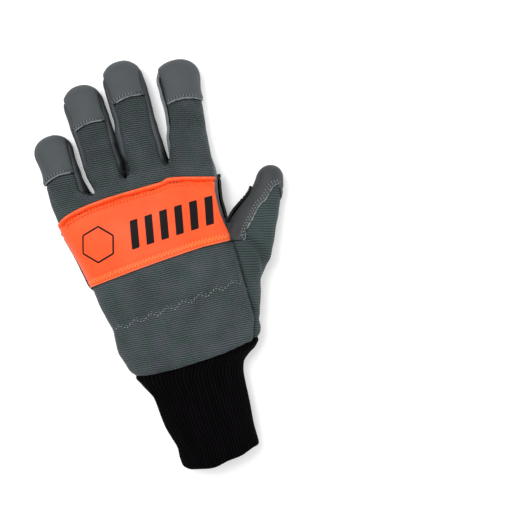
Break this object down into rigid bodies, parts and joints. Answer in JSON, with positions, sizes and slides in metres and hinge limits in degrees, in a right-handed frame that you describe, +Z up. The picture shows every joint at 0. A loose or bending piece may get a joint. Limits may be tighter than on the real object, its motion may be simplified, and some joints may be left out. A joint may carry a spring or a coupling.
{
  "type": "chainsaw glove",
  "caption": "Left-hand forestry glove with leather palm and fingertips, woven back, high-visibility knuckle panel and ribbed knit cuff, lying palm down.",
  "frame": {"origin": "on the flat underside of the palm patch, under the middle of the hand, 91 mm ahead of the wrist seam", "axes": "+Y from the cuff to the fingertips, +X towards the thumb, +Z up from the surface that it lies on, through the back of the hand"},
  "size_m": [0.1575, 0.2819, 0.0381],
  "materials": {
    "woven_back": "matt dark green-grey elastic woven fabric with fine cross ribs",
    "hi_vis": "smooth coated fluorescent orange fabric",
    "leather_grey": "satin grey grain leather",
    "palm_leather": "smooth satin blue-grey grain leather",
    "patch_leather": "satin black-brown leather with black double stitching",
    "rib_knit": "matt black ribbed knit"
  },
  "bodies": {
    "root": {"back_panel": "woven_back", "thumb_side_panel": "woven_back", "hi_vis_panel": "hi_vis", "little_cap": "leather_grey", "ring_cap": "leather_grey", "middle_cap": "leather_grey", "index_cap": "leather_grey", "fourchette_little_ring": "leather_grey", "fourchette_ring_middle": "leather_grey", "fourchette_middle_index": "leather_grey", "thumb_leather": "leather_grey", "palm_panel": "palm_leather", "ring_front": "palm_leather", "middle_front": "palm_leather", "wrist_guard": "palm_leather", "palm_patch": "patch_leather", "knit_cuff": "rib_knit"}
  },
  "joints": []
}
